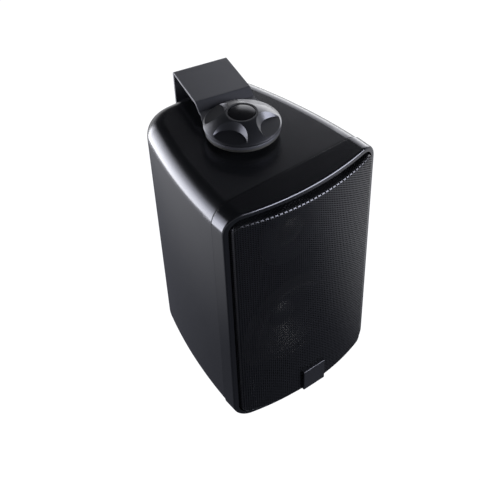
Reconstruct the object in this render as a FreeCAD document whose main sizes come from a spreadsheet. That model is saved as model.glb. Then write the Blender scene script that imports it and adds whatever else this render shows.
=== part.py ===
import FreeCAD, Part
import math
import os
import Sketcher

# Compact two-way wall loudspeaker on a folded steel bracket with two hand knobs.
# Row frame: millimetres, +Z up, the wall is the plane Y = 0 and the front looks along -Y.
# Cabinet frame: X to the right, Y from the seam of shell and front frame to the rear, Z from mid-height.

SIZES = {
    # Where the cabinet hangs on the bracket
    "swing_gap": 10.4,
    "axis_to_seam": 60.0,
    "rest_swivel": 12.8,
    # Moulded shell
    "cabinet_height": 240.0,
    "cabinet_width": 150.2,
    "cabinet_depth": 139.6,
    "side_taper": 26.3,
    "side_radius": 490.0,
    "rear_flat": 14.8,
    "edge_round": 15.5,
    "shell_wall": 3.5,
    "mouth_round": 1.0,
    # Pivot bosses of the shell
    "boss_radius": 22.0,
    "boss_height": 4.2,
    "boss_core_radius": 11.0,
    "boss_floor": 2.5,
    "insert_radius": 6.5,
    "insert_length": 17.0,
    "insert_clearance": 0.05,
    # Pivot washers, studs and knobs
    "pivot_washer_radius": 30.5,
    "pivot_washer_thick": 2.6,
    "washer_edge": 0.5,
    "stud_radius": 4.0,
    "stud_reach": 14.0,
    "stud_root": 7.0,
    "stud_point": 0.5,
    "thread_clearance": 0.08,
    "hole_clearance": 0.6,
    "thrust_radius": 14.0,
    "thrust_thick": 1.0,
    "knob_radius": 31.5,
    "knob_rim": 2.4,
    "knob_height": 11.8,
    "knob_dome": 45.0,
    "knob_edge": 0.7,
    "knob_ring": 1.5,
    "knob_turn": 31.0,
    "cap_radius": 11.4,
    "cap_thick": 1.4,
    "cap_sink": 0.4,
    "cap_crown": 1.2,
    "cap_gap": 0.35,
    "scoop_count": 4,
    "scoop_centre": 32.5,
    "scoop_radius": 16.0,
    "scoop_draft": 40.0,
    "scoop_tilt": 12.0,
    "scoop_floor": 2.0,
    # Folded bracket
    "sheet": 2.5,
    "bend_inside": 0.8,
    "plate_edge": 0.5,
    "arm_width": 49.2,
    "joggle": 5.1,
    "joggle_start": 38.6,
    "joggle_end": 31.0,
    "arm_flare": 6.6,
    "wall_hole_radius": 2.75,
    "wall_hole_across": 28.0,
    "wall_hole_up": 150.0,
    # Front frame
    "frame_step": 0.8,
    "frame_depth": 14.4,
    "frame_bow": 11.8,
    "frame_edge": 2.0,
    "frame_back_edge": 0.4,
    "frame_lip": 4.2,
    "ledge_depth": 6.0,
    "baffle_setback": 1.0,
    "baffle_thick": 5.0,
    "plug_clearance": 0.7,
    "seal_thick": 0.6,
    "seal_inset": 1.0,
    "seal_width": 2.0,
    # Grille
    "grille_side_gap": 2.0,
    "grille_end_gap": 3.6,
    "grille_proud": 5.25,
    "grille_bow": 12.2,
    "grille_sheet": 1.0,
    "grille_bend": 2.5,
    "grille_corner": 7.0,
    "ledge_width": 2.6,
    "slot_count": 60,
    "slot_margin": 4.75,
    "slot_width": 1.4,
    "slot_bridge": 3.0,
    # Badge block
    "badge_width": 24.0,
    "badge_proud": 3.1,
    "badge_foot": 2.8,
    "badge_height": 24.6,
    "badge_edge": 0.6,
    "badge_gap": 0.05,
    # Woofer
    "woofer_inset": 65.0,
    "woofer_radius": 53.5,
    "basket_sheet": 1.5,
    "basket_mouth": 43.5,
    "basket_wall": 10.0,
    "basket_waist": 29.5,
    "basket_shelf": 20.0,
    "basket_throat": 27.0,
    "basket_depth": 28.5,
    "basket_window": 6.5,
    "basket_window_count": 4,
    "seat_hole": 16.5,
    "cutout_clearance": 0.8,
    "cone_radius": 38.5,
    "cone_rim": 2.0,
    "cone_thick": 0.7,
    "cone_depth": 13.5,
    "surround_thick": 0.6,
    "surround_edge_gap": 0.3,
    "coil_radius": 12.45,
    "former_thick": 0.4,
    "winding_thick": 0.6,
    "winding_height": 6.5,
    "former_length": 21.5,
    "glue_gap": 0.1,
    "dust_cap_radius": 14.5,
    "dust_cap_rise": 5.0,
    "spider_wave": 0.65,
    "spider_folds": 6,
    "spider_thick": 0.5,
    "pole_gap": 0.5,
    "coil_gap": 0.5,
    "top_plate_radius": 30.0,
    "top_plate_thick": 4.0,
    "magnet_radius": 33.0,
    "magnet_bore": 18.0,
    "magnet_thick": 10.0,
    "yoke_radius": 28.0,
    "yoke_thick": 4.5,
    # Tweeter
    "tweeter_inset": 65.0,
    "tweeter_radius": 32.0,
    "face_thick": 3.0,
    "horn_mouth": 22.0,
    "horn_throat": 15.2,
    "horn_lip": 1.2,
    "dome_radius": 12.7,
    "dome_rise": 4.2,
    "dome_thick": 0.4,
    "dome_skirt": 3.2,
    "motor_radius": 25.0,
    "motor_plate": 3.5,
    "motor_magnet": 7.0,
    "motor_bore": 16.0,
    # Screws
    "driver_screw_count": 4,
    "driver_screw_start": 45.0,
    "driver_screw_inset": 3.2,
    "face_screw_inset": 4.0,
    "screw_radius": 1.7,
    "screw_head_radius": 3.0,
    "screw_head_thick": 2.0,
    "screw_crown": 0.7,
    "screw_length": 12.0,
    "screw_clearance": 0.1,
    "post_radius": 4.5,
    "post_length": 22.0,
    "post_inset_across": 9.1,
    "post_inset_up": 12.4,
    "post_web": 3.0,
    # Terminal cup
    "cup_inset": 60.0,
    "cup_width": 38.0,
    "cup_height": 36.0,
    "cup_depth": 16.0,
    "cup_wall": 2.0,
    "cup_flange": 5.0,
    "cup_flange_thick": 1.6,
    "cup_fit": 0.3,
    "cup_rib": 3.0,
    "cup_screw_inset": 2.7,
    "cup_screw_radius": 1.2,
    "cup_screw_head": 2.2,
    "cup_screw_head_thick": 1.2,
    "lever_side_gap": 0.5,
    "lever_sink": 3.5,
    "lever_thick": 3.0,
    "lever_reach": 18.0,
    "lever_pivot_rise": 11.0,
    "lever_thumb": 1.6,
    "pin_radius": 1.5,
    "pin_reach": 1.2,
    "pin_clearance": 0.05,
    "leaf_width": 6.0,
    "leaf_thick": 0.6,
    "leaf_length": 20.0,
    "tag_reach": 11.0,
    "tag_clearance": 0.3,
    # Crossover
    "standoff_radius": 3.0,
    "standoff_height": 6.0,
    "standoff_across": 24.0,
    "board_width": 84.0,
    "board_height": 60.0,
    "board_thick": 1.6,
    "coil_offset": 26.0,
    "coil_outer": 14.0,
    "coil_inner": 6.0,
    "coil_height": 12.0,
    "capacitor_radius": 6.5,
    "capacitor_length": 24.0,
    "resistor_length": 24.0,
    "resistor_side": 8.0,
    "part_offset": 22.0,
    "part_rise": 14.0,
    # Damping wadding
    "wadding_width": 44.0,
    "wadding_margin": 20.0,
    "wadding_thick": 38.0,
    "wadding_corner": 7.6,
    "wadding_gap": 0.3,
}


class Size:
    """A number together with its formula in the sheet, so a value and its binding stay one thing."""

    def __init__(self, value, text):
        self.value = float(value)
        self.text = text

    def __add__(self, other):
        other = as_size(other)
        return Size(self.value + other.value, f"({self.text} + {other.text})")

    def __sub__(self, other):
        other = as_size(other)
        return Size(self.value - other.value, f"({self.text} - {other.text})")

    def __mul__(self, other):
        other = as_size(other)
        return Size(self.value * other.value, f"({self.text} * {other.text})")

    def __truediv__(self, other):
        other = as_size(other)
        return Size(self.value / other.value, f"({self.text} / {other.text})")

    def __neg__(self):
        return Size(-self.value, f"(0 - {self.text})")

    def __radd__(self, other):
        return as_size(other) + self

    def __rsub__(self, other):
        return as_size(other) - self

    def __rmul__(self, other):
        return as_size(other) * self


def as_size(number):
    """Gives a plain number the form of a Size."""
    if isinstance(number, Size):
        return number
    if number < 0:
        return Size(number, f"(0 - {abs(number):.6f})")
    return Size(number, f"{number:.6f}")


def root(size):
    return Size(math.sqrt(size.value), f"sqrt({size.text})")


def sine(angle):
    return Size(math.sin(math.radians(angle.value)), f"sin({angle.text})")


def cosine(angle):
    return Size(math.cos(math.radians(angle.value)), f"cos({angle.text})")


def tangent(angle):
    return Size(math.tan(math.radians(angle.value)), f"tan({angle.text})")


def arc_radius(half_chord, rise):
    """Radius of the arc over a chord of twice half_chord that rises by rise."""
    return (half_chord * half_chord + rise * rise) / (2 * rise)


class Sheet:
    """The document's table of driving sizes; each size is read as an attribute."""

    def __init__(self, document, sizes):
        self._table = document.addObject("Spreadsheet::Sheet", "Sizes")
        for row, (name, value) in enumerate(sizes.items(), start=1):
            self._table.set(f"A{row}", name)
            self._table.set(f"B{row}", str(value))
            self._table.setAlias(f"B{row}", name)
        self._values = dict(sizes)

    def __getattr__(self, name):
        return Size(self._values[name], f"Sizes.{name}")


doc = FreeCAD.newDocument("Loudspeaker")
S = Sheet(doc, SIZES)
doc.recompute()

ZERO = as_size(0)
SAME_PLACE = 0.01
PARALLEL = 0.999
nodes = {}


# Drawing helpers

def bind(item, path, size):
    item.setExpression(path, size.text)


def new_body(label):
    body = doc.addObject("PartDesign::Body", label)
    body.Label = label
    nodes[label] = body
    return body


def origin_feature(body, role):
    return [item for item in body.Origin.OriginFeatures if item.Role == role][0]


def new_sketch(body, role, offset=ZERO):
    """An empty sketch on one of the body's origin planes, moved along that plane's normal."""
    sketch = body.newObject("Sketcher::SketchObject", f"{body.Name}_sketch")
    sketch.AttachmentSupport = [(origin_feature(body, role), "")]
    sketch.MapMode = "FlatFace"
    bind(sketch, "AttachmentOffset.Base.z", offset)
    return sketch


def vector(point):
    return FreeCAD.Vector(as_size(point[0]).value, as_size(point[1]).value, 0)


def pin(sketch, geometry, position, point):
    """Ties one point of a sketch to its formulas."""
    for kind, size in zip(("DistanceX", "DistanceY"), point):
        size = as_size(size)
        rule = Sketcher.Constraint(kind, -1, 1, geometry, position, size.value)
        bind(sketch, f"Constraints[{sketch.addConstraint(rule)}]", size)


def arc_through(start, end, radius):
    """Arc from start to end; a positive radius turns left along the way, a negative one right."""
    a, b = (start, end) if radius > 0 else (end, start)
    chord = b - a
    left = FreeCAD.Vector(-chord.y, chord.x, 0).normalize()
    height = math.sqrt(max(radius * radius - chord.Length ** 2 / 4, 0.0))
    centre = (a + b) / 2 + left * height
    circle = Part.Circle(centre, FreeCAD.Vector(0, 0, 1), abs(radius))
    first = math.atan2(a.y - centre.y, a.x - centre.x)
    last = math.atan2(b.y - centre.y, b.x - centre.x)
    return Part.ArcOfCircle(circle, first, last if last > first else last + 2 * math.pi)


def outline(sketch, points, arcs=None):
    """A closed outline; arcs maps the number of a point to the signed radius of the arc after it."""
    arcs = arcs or {}
    base = sketch.GeometryCount
    count = len(points)
    ends = []
    for number, point in enumerate(points):
        start = vector(point)
        finish = vector(points[(number + 1) % count])
        if number in arcs:
            radius = as_size(arcs[number]).value
            sketch.addGeometry(arc_through(start, finish, radius), False)
            ends.append((1, 2) if radius > 0 else (2, 1))
        else:
            sketch.addGeometry(Part.LineSegment(start, finish), False)
            ends.append((1, 2))
    for number in range(count):
        after = (number + 1) % count
        rule = Sketcher.Constraint("Coincident", base + number, ends[number][1], base + after, ends[after][0])
        sketch.addConstraint(rule)
    for number, point in enumerate(points):
        pin(sketch, base + number, ends[number][0], point)
    for number, radius in arcs.items():
        size = as_size(radius)
        size = size if size.value > 0 else -size
        rule = Sketcher.Constraint("Radius", base + number, size.value)
        bind(sketch, f"Constraints[{sketch.addConstraint(rule)}]", size)


def box_outline(sketch, left, right, low, high):
    outline(sketch, [(left, low), (right, low), (right, high), (left, high)])


def rounded_outline(sketch, left, right, low, high, radius):
    """A rectangle with round corners."""
    points = [
        (left + radius, low), (right - radius, low), (right, low + radius), (right, high - radius),
        (right - radius, high), (left + radius, high), (left, high - radius), (left, low + radius),
    ]
    outline(sketch, points, {1: radius, 3: radius, 5: radius, 7: radius})


def circle(sketch, centre, radius):
    place = vector(centre)
    number = sketch.addGeometry(Part.Circle(place, FreeCAD.Vector(0, 0, 1), radius.value), False)
    pin(sketch, number, 3, centre)
    rule = Sketcher.Constraint("Radius", number, radius.value)
    bind(sketch, f"Constraints[{sketch.addConstraint(rule)}]", radius)


def pad(body, sketch, length, along=True):
    """Adds material from the sketch along its normal, or against it."""
    feature = body.newObject("PartDesign::Pad", f"{body.Name}_pad")
    feature.Profile = sketch
    bind(feature, "Length", length)
    feature.Reversed = not along
    return feature


def pad_both(body, sketch, length):
    feature = pad(body, sketch, length)
    feature.SideType = "Symmetric"
    return feature


def pocket(body, sketch, length, along=True):
    """Takes material away from the sketch along its normal, or against it."""
    feature = body.newObject("PartDesign::Pocket", f"{body.Name}_pocket")
    feature.Profile = sketch
    bind(feature, "Length", length)
    feature.Reversed = along
    return feature


def pocket_through(body, sketch):
    feature = body.newObject("PartDesign::Pocket", f"{body.Name}_pocket")
    feature.Profile = sketch
    feature.Type = "ThroughAll"
    feature.SideType = "Symmetric"
    return feature


def revolve(body, points, arcs=None):
    """A turned form: points are (radius, height) about the body's Z axis."""
    sketch = new_sketch(body, "XZ_Plane")
    outline(sketch, points, arcs)
    feature = body.newObject("PartDesign::Revolution", f"{body.Name}_turn")
    feature.Profile = sketch
    feature.ReferenceAxis = (sketch, ["V_Axis"])
    feature.Angle = 360
    return feature


def fillet(body, feature, radius, wanted):
    """Rounds the edges of a feature that the test wanted picks out."""
    doc.recompute()
    edges = [f"Edge{number}" for number, edge in enumerate(feature.Shape.Edges, start=1) if wanted(edge)]
    rounded = body.newObject("PartDesign::Fillet", f"{body.Name}_fillet")
    rounded.Base = (feature, edges)
    bind(rounded, "Radius", radius)
    return rounded


def along_axis(edge, axis):
    """True for a straight edge parallel to one of the axes x, y or z."""
    if len(edge.Vertexes) < 2 or edge.Curve.TypeId != "Part::GeomLine":
        return False
    way = edge.Vertexes[1].Point - edge.Vertexes[0].Point
    return abs(getattr(way.normalize(), axis)) > PARALLEL


def near(number, size):
    return abs(number - size.value) < SAME_PLACE


# Placing helpers

UPRIGHT = FreeCAD.Rotation()
FACING_FRONT = FreeCAD.Rotation(FreeCAD.Vector(1, 0, 0), 90)
UPSIDE_DOWN = FreeCAD.Rotation(FreeCAD.Vector(1, 0, 0), 180)


def turned_by(angle):
    return FreeCAD.Rotation(FreeCAD.Vector(0, 0, 1), angle.value)


def seat(item, x=ZERO, y=ZERO, z=ZERO, rotation=UPRIGHT):
    """Places a piece given in the cabinet frame, which is turned about the pivot axis."""
    back = as_size(y) - S.axis_to_seam
    across = as_size(x)
    item.Placement = FreeCAD.Placement(FreeCAD.Vector(), turned_by(S.rest_swivel) * rotation)
    bind(item, "Placement.Base.x", cosine(S.rest_swivel) * across - sine(S.rest_swivel) * back)
    bind(item, "Placement.Base.y", sine(S.rest_swivel) * across + cosine(S.rest_swivel) * back - axis_to_wall)
    bind(item, "Placement.Base.z", as_size(z))


def turned(label, points, arcs=None, **place):
    body = new_body(label)
    revolve(body, points, arcs)
    seat(body, **place)
    return body


def group(label, shape, places, **place):
    """A node of several equal solids, each moved to its place."""
    copies = []
    for x, y, z in places:
        copy = shape.copy()
        copy.translate(FreeCAD.Vector(x, y, z))
        copies.append(copy)
    item = doc.addObject("Part::Feature", label)
    item.Label = label
    item.Shape = Part.makeCompound(copies)
    seat(item, **place)
    nodes[label] = item
    return item


def screw_shape(radius, length, head_radius, head_thick):
    """A pan-head screw along Z with its head above z = 0 and a pointed end."""
    points = [
        (0, -length), (radius, radius - length), (radius, 0), (head_radius, 0),
        (head_radius, head_thick / 2), (head_radius * S.screw_crown.value, head_thick), (0, head_thick),
    ]
    corners = [FreeCAD.Vector(r, 0, z) for r, z in points]
    face = Part.Face(Part.makePolygon(corners + corners[:1]))
    return face.revolve(FreeCAD.Vector(), FreeCAD.Vector(0, 0, 1), 360)


def ring_of(count, start=ZERO):
    """Directions spread evenly round a circle, counted from the angle start in degrees."""
    step = 360 / count.value
    angles = [math.radians(start.value + step * number) for number in range(int(count.value))]
    return [(math.cos(angle), math.sin(angle)) for angle in angles]


def driver_screw_ring():
    return ring_of(S.driver_screw_count, S.driver_screw_start)


# Shared heights and places

top = S.cabinet_height / 2
boss_top = top + S.boss_height
flat_low = boss_top + S.pivot_washer_thick
flat_high = flat_low + S.sheet
arm_low = flat_low + S.joggle
arm_high = flat_high + S.joggle
stud_hole = S.stud_radius + S.hole_clearance
baffle_back = S.baffle_setback + S.baffle_thick
axis_to_wall = S.cabinet_depth - S.axis_to_seam + S.swing_gap
woofer_drop = top - S.woofer_inset
tweeter_rise = top - S.tweeter_inset
cup_drop = top - S.cup_inset
driver_screw_circle = S.woofer_radius - S.driver_screw_inset
face_screw_circle = S.tweeter_radius - S.face_screw_inset
ends = (("upper", 1), ("lower", -1))

# Front frame and the grille tray inside its lip

frame_half = S.cabinet_width / 2 + S.frame_step
frame_top = top + S.frame_step
frame_front = S.frame_depth + S.frame_bow
bow_radius = arc_radius(frame_half, S.frame_bow)
lip_half = frame_half - S.frame_lip
lip_top = frame_top - S.frame_lip
grille_half = lip_half - S.grille_side_gap
grille_top = lip_top - S.grille_end_gap
grille_front = frame_front + S.grille_proud
grille_radius = arc_radius(grille_half, S.grille_bow)
well_half = grille_half - S.ledge_width
well_top = grille_top - S.ledge_width
post_across = well_half - S.post_inset_across
post_up = well_top - S.post_inset_up


# Folded wall bracket

def wall_bracket():
    """One strip of steel: rear plate, two joggled arms and a round flat at each pivot."""
    body = new_body("wall_bracket")
    slope = root(S.joggle * S.joggle + (S.joggle_start - S.joggle_end) * (S.joggle_start - S.joggle_end))
    shift = S.sheet * (slope - (S.joggle_start - S.joggle_end)) / S.joggle
    axis = -axis_to_wall
    start = axis + S.joggle_start
    end = axis + S.joggle_end
    upper = [
        (axis, flat_low), (axis, flat_high), (end, flat_high), (start, arm_high), (ZERO, arm_high),
    ]
    under = [
        (-S.sheet, arm_low), (start + shift, arm_low), (end + shift, flat_low),
    ]
    lower = [(y, -z) for y, z in reversed(upper)]
    inside = [(y, -z) for y, z in reversed(under)]
    sketch = new_sketch(body, "YZ_Plane")
    outline(sketch, upper + lower + inside + under)
    strip = pad_both(body, sketch, S.arm_width)

    rear_outside = fillet(body, strip, S.bend_inside + S.sheet, lambda edge: along_axis(edge, "x")
                          and near(edge.CenterOfMass.y, ZERO))
    rear_inside = fillet(body, rear_outside, S.bend_inside, lambda edge: along_axis(edge, "x")
                         and near(edge.CenterOfMass.y, -S.sheet))
    joggle_inside = fillet(body, rear_inside, S.bend_inside, lambda edge: along_axis(edge, "x")
                           and (near(edge.CenterOfMass.y, end) or near(edge.CenterOfMass.y, start + shift)))
    fillet(body, joggle_inside, S.bend_inside + S.sheet, lambda edge: along_axis(edge, "x")
           and (near(edge.CenterOfMass.y, start) or near(edge.CenterOfMass.y, end + shift)))

    half = S.arm_width / 2
    radius = half + S.arm_flare
    neck = end - S.sheet
    for name, side in ends:
        flat = new_sketch(body, "XY_Plane", flat_low * side)
        outline(flat, [(-half, neck), (-radius, axis), (ZERO, axis - radius), (radius, axis), (half, neck)],
                {1: radius, 2: radius})
        plate = pad(body, flat, S.sheet, along=side > 0)
    fillet(body, plate, S.plate_edge, lambda edge: edge.Curve.TypeId == "Part::GeomCircle"
           and near(edge.Curve.Radius, radius))

    pivot = new_sketch(body, "XY_Plane")
    circle(pivot, (ZERO, axis), stud_hole)
    pocket_through(body, pivot)

    holes = new_sketch(body, "XZ_Plane")
    for x_side in (-1, 1):
        for z_side in (-1, 1):
            circle(holes, (S.wall_hole_across / 2 * x_side, S.wall_hole_up / 2 * z_side), S.wall_hole_radius)
    pocket_through(body, holes)


# Cabinet shell

def cabinet_shell():
    """Moulded shell, open at the front, with pivot bosses, screw posts and the terminal cut-out."""
    body = new_body("cabinet_shell")
    seat(body)
    half = S.cabinet_width / 2
    rear = half - S.side_taper
    plan = new_sketch(body, "XY_Plane", -top)
    outline(plan, [(-half, S.seal_thick), (half, S.seal_thick), (rear, S.cabinet_depth),
                   (-rear, S.cabinet_depth)], {1: S.side_radius, 3: S.side_radius})
    block = pad(body, plan, S.cabinet_height)
    block = fillet(body, block, rear - S.rear_flat, lambda edge: along_axis(edge, "z")
                   and near(edge.CenterOfMass.y, S.cabinet_depth))
    block = fillet(body, block, S.edge_round, lambda edge: near(abs(edge.CenterOfMass.z), top)
                   and not near(edge.CenterOfMass.y, S.seal_thick))
    doc.recompute()
    mouth = [f"Face{number}" for number, face in enumerate(block.Shape.Faces, start=1)
             if near(face.CenterOfMass.y, S.seal_thick)]
    hollow = body.newObject("PartDesign::Thickness", "cabinet_shell_hollow")
    hollow.Base = (block, mouth)
    hollow.Reversed = True
    bind(hollow, "Value", S.shell_wall)
    inner = top - S.shell_wall / 2
    outer = S.cabinet_width / 2 - S.shell_wall / 2
    fillet(body, hollow, S.mouth_round, lambda edge: near(edge.CenterOfMass.y, S.seal_thick)
           and (abs(edge.CenterOfMass.x) > outer.value or abs(edge.CenterOfMass.z) > inner.value))

    core = S.insert_length + S.boss_floor - S.boss_height - S.shell_wall / 2
    for name, side in ends:
        raised = new_sketch(body, "XY_Plane", inner * side)
        circle(raised, (ZERO, S.axis_to_seam), S.boss_radius)
        pad(body, raised, boss_top - inner, along=side > 0)
        hidden = new_sketch(body, "XY_Plane", inner * side)
        circle(hidden, (ZERO, S.axis_to_seam), S.boss_core_radius)
        pad(body, hidden, core, along=side < 0)
        bore = new_sketch(body, "XY_Plane", boss_top * side)
        circle(bore, (ZERO, S.axis_to_seam), S.insert_radius)
        pocket(body, bore, S.insert_length, along=side < 0)

    wall_middle = half - S.shell_wall
    posts = new_sketch(body, "XZ_Plane", -baffle_back)
    webs = new_sketch(body, "XZ_Plane", -baffle_back)
    pilots = new_sketch(body, "XZ_Plane", -baffle_back)
    for x_side in (-1, 1):
        for z_side in (-1, 1):
            place = (post_across * x_side, post_up * z_side)
            circle(posts, place, S.post_radius)
            circle(pilots, place, S.screw_radius + S.screw_clearance)
            left, right = (post_across, wall_middle) if x_side > 0 else (-wall_middle, -post_across)
            box_outline(webs, left, right, place[1] - S.post_web / 2, place[1] + S.post_web / 2)
    pad(body, posts, S.post_length, along=False)
    pad(body, webs, S.post_length, along=False)
    pocket(body, pilots, S.screw_length, along=False)

    wide = S.cup_width / 2 + S.cup_fit
    tall = S.cup_height / 2 + S.cup_fit
    window = new_sketch(body, "XZ_Plane", -S.cabinet_depth)
    box_outline(window, -wide, wide, -cup_drop - tall, -cup_drop + tall)
    for x, z in cup_screw_places():
        circle(window, (x, z), S.cup_screw_radius + S.screw_clearance)
    pocket(body, window, S.shell_wall * 2)


def cup_screw_places():
    """The four screws in the corners of the terminal cup's flange, in the cabinet frame."""
    x = S.cup_width / 2 + S.cup_flange - S.cup_screw_inset
    z = S.cup_height / 2 + S.cup_flange - S.cup_screw_inset
    return [(x * x_side, z * z_side - cup_drop) for x_side in (-1, 1) for z_side in (-1, 1)]


# Pivot stacks, one above and one below the cabinet

def pivot_stack(name, side):
    """Insert, friction washer, thrust washer, stud, knob and cap on the pivot axis."""
    rotation = UPRIGHT if side > 0 else UPSIDE_DOWN
    base = dict(y=S.axis_to_seam, rotation=rotation)
    bore = S.stud_radius + S.thread_clearance
    outer = S.insert_radius - S.insert_clearance
    washer_hole = stud_hole + S.hole_clearance
    washer_rim = S.pivot_washer_radius
    turned(f"{name}_insert",
           [(bore, -S.insert_length), (outer, -S.insert_length), (outer, ZERO), (bore, ZERO)],
           z=boss_top * side, **base)
    turned(f"{name}_friction_washer",
           [(washer_hole, ZERO), (washer_rim - S.washer_edge, ZERO), (washer_rim, S.washer_edge),
            (washer_rim, S.pivot_washer_thick - S.washer_edge),
            (washer_rim - S.washer_edge, S.pivot_washer_thick), (washer_hole, S.pivot_washer_thick)],
           z=boss_top * side, **base)
    on_plate = dict(z=flat_high * side, **base)
    turned(f"{name}_thrust_washer",
           [(stud_hole, ZERO), (S.thrust_radius, ZERO), (S.thrust_radius, S.thrust_thick),
            (stud_hole, S.thrust_thick)], **on_plate)
    tip = -S.sheet - S.pivot_washer_thick - S.stud_reach
    turned(f"{name}_stud",
           [(ZERO, tip), (S.stud_radius - S.stud_point, tip), (S.stud_radius, tip + S.stud_point),
            (S.stud_radius, S.stud_root), (ZERO, S.stud_root)], **on_plate)
    cap_floor = S.knob_height - S.cap_thick
    cap_edge = S.cap_radius - S.cap_gap
    cap_rim = S.knob_height - S.cap_sink
    turned(f"{name}_knob_cap",
           [(ZERO, cap_floor), (cap_edge, cap_floor), (cap_edge, cap_rim), (ZERO, cap_rim + S.cap_crown)],
           {2: arc_radius(cap_edge, S.cap_crown)}, **on_plate)
    knob(f"{name}_knob", side, on_plate)


def knob(label, side, place):
    """Round hand knob: a low dome with finger scoops all round and a ring for the cap."""
    body = new_body(label)
    socket = S.stud_radius + S.insert_clearance
    recess = S.thrust_radius + S.hole_clearance / 2
    rim = S.knob_radius
    ring = S.cap_radius + S.knob_ring
    floor = S.knob_height - S.cap_thick
    revolve(body, [
        (ZERO, S.stud_root), (socket, S.stud_root), (socket, S.thrust_thick), (recess, S.thrust_thick),
        (recess, ZERO), (rim - S.knob_edge, ZERO), (rim, S.knob_edge), (rim, S.knob_rim - S.knob_edge),
        (rim - S.knob_edge, S.knob_rim), (ring, S.knob_height), (S.cap_radius, S.knob_height),
        (S.cap_radius, floor), (ZERO, floor)], {8: S.knob_dome})
    doc.recompute()
    scoop = body.newObject("PartDesign::SubtractiveCone", f"{label}_scoop")
    height = S.knob_height - S.scoop_floor
    bind(scoop, "Radius1", S.scoop_radius)
    bind(scoop, "Radius2", S.scoop_radius + height * tangent(S.scoop_draft))
    bind(scoop, "Height", height)
    scoop.AttachmentSupport = [(origin_feature(body, "XY_Plane"), "")]
    scoop.MapMode = "FlatFace"
    leaning_out = FreeCAD.Rotation(FreeCAD.Vector(0, 1, 0), S.scoop_tilt.value)
    scoop.AttachmentOffset = FreeCAD.Placement(FreeCAD.Vector(), leaning_out)
    bind(scoop, "AttachmentOffset.Rotation.Angle", S.scoop_tilt)
    bind(scoop, "AttachmentOffset.Base.x", S.scoop_centre)
    bind(scoop, "AttachmentOffset.Base.z", S.scoop_floor)
    doc.recompute()
    scoops = body.newObject("PartDesign::PolarPattern", f"{label}_scoops")
    scoops.Originals = [scoop]
    scoops.Axis = (origin_feature(body, "Z_Axis"), [""])
    scoops.Angle = 360
    bind(scoops, "Occurrences", S.scoop_count)
    body.Tip = scoops
    turn = turned_by(S.knob_turn)
    seat(body, **{**place, "rotation": place["rotation"] * turn})


# Front frame, seal, grille and badge

def cut_bow(body, front, radius, half_width):
    """Cuts the front of a body to a cylinder about an upright axis; front is the distance of its crown."""
    reach = half_width + S.frame_bow
    edge = radius - front - root(radius * radius - reach * reach)
    far = front + S.frame_bow
    sketch = new_sketch(body, "XY_Plane")
    outline(sketch, [(-reach, -far), (reach, -far), (reach, edge), (-reach, edge)], {2: -radius})
    return pocket_through(body, sketch)


def on_bowed_face(feature, radius):
    """Test for the edges that bound the bowed front face of a feature."""
    doc.recompute()
    faces = [face for face in feature.Shape.Faces
             if face.Surface.TypeId == "Part::GeomCylinder" and near(face.Surface.Radius, radius)]
    bounding = [edge for face in faces for edge in face.Edges]
    return lambda edge: any(edge.isSame(other) for other in bounding)


def front_frame():
    """Moulded frame with a bowed lip, the ledge for the grille and the baffle that carries the drivers."""
    body = new_body("front_frame")
    seat(body)
    face = new_sketch(body, "XZ_Plane")
    rounded_outline(face, -frame_half, frame_half, -frame_top, frame_top, S.edge_round + S.frame_step)
    pad(body, face, frame_front)
    bowed = cut_bow(body, frame_front, bow_radius, frame_half)
    rimmed = fillet(body, bowed, S.frame_edge, on_bowed_face(bowed, bow_radius))
    fillet(body, rimmed, S.frame_back_edge, lambda edge: near(edge.CenterOfMass.y, ZERO))

    wall = S.shell_wall + S.plug_clearance
    plug_half = S.cabinet_width / 2 - wall
    plug_top = top - wall
    plug = new_sketch(body, "XZ_Plane")
    rounded_outline(plug, -plug_half, plug_half, -plug_top, plug_top, S.edge_round - wall)
    pad(body, plug, baffle_back, along=False)

    lip = new_sketch(body, "XZ_Plane", S.ledge_depth)
    rounded_outline(lip, -lip_half, lip_half, -lip_top, lip_top, S.edge_round + S.frame_step - S.frame_lip)
    pocket(body, lip, frame_front)

    well = new_sketch(body, "XZ_Plane", -S.baffle_setback)
    rounded_outline(well, -well_half, well_half, -well_top, well_top, S.grille_corner - S.ledge_width)
    pocket(body, well, S.ledge_depth + S.baffle_setback)

    holes = new_sketch(body, "XZ_Plane", -S.baffle_setback)
    circle(holes, (ZERO, -woofer_drop), S.basket_mouth + S.basket_sheet + S.cutout_clearance)
    circle(holes, (ZERO, tweeter_rise), S.motor_radius + S.cutout_clearance)
    for x_side in (-1, 1):
        for z_side in (-1, 1):
            circle(holes, (post_across * x_side, post_up * z_side), S.screw_radius + S.screw_clearance)
    pocket(body, holes, S.baffle_thick * 2, along=False)
    pilots = new_sketch(body, "XZ_Plane", -S.baffle_setback)
    for x, z in driver_screw_ring():
        woofer_screw = (driver_screw_circle * x, driver_screw_circle * z - woofer_drop)
        tweeter_screw = (face_screw_circle * x, face_screw_circle * z + tweeter_rise)
        circle(pilots, woofer_screw, S.screw_radius + S.screw_clearance)
        circle(pilots, tweeter_screw, S.screw_radius + S.screw_clearance)
    pocket(body, pilots, S.baffle_thick * 2, along=False)


def frame_seal():
    """Flat foam ring squeezed between the shell's edge and the frame."""
    body = new_body("frame_seal")
    seat(body)
    sketch = new_sketch(body, "XZ_Plane")
    for inset in (S.seal_inset, S.seal_inset + S.seal_width):
        half = S.cabinet_width / 2 - inset
        rounded_outline(sketch, -half, half, inset - top, top - inset, S.edge_round - inset)
    pad(body, sketch, S.seal_thick, along=False)


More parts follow.
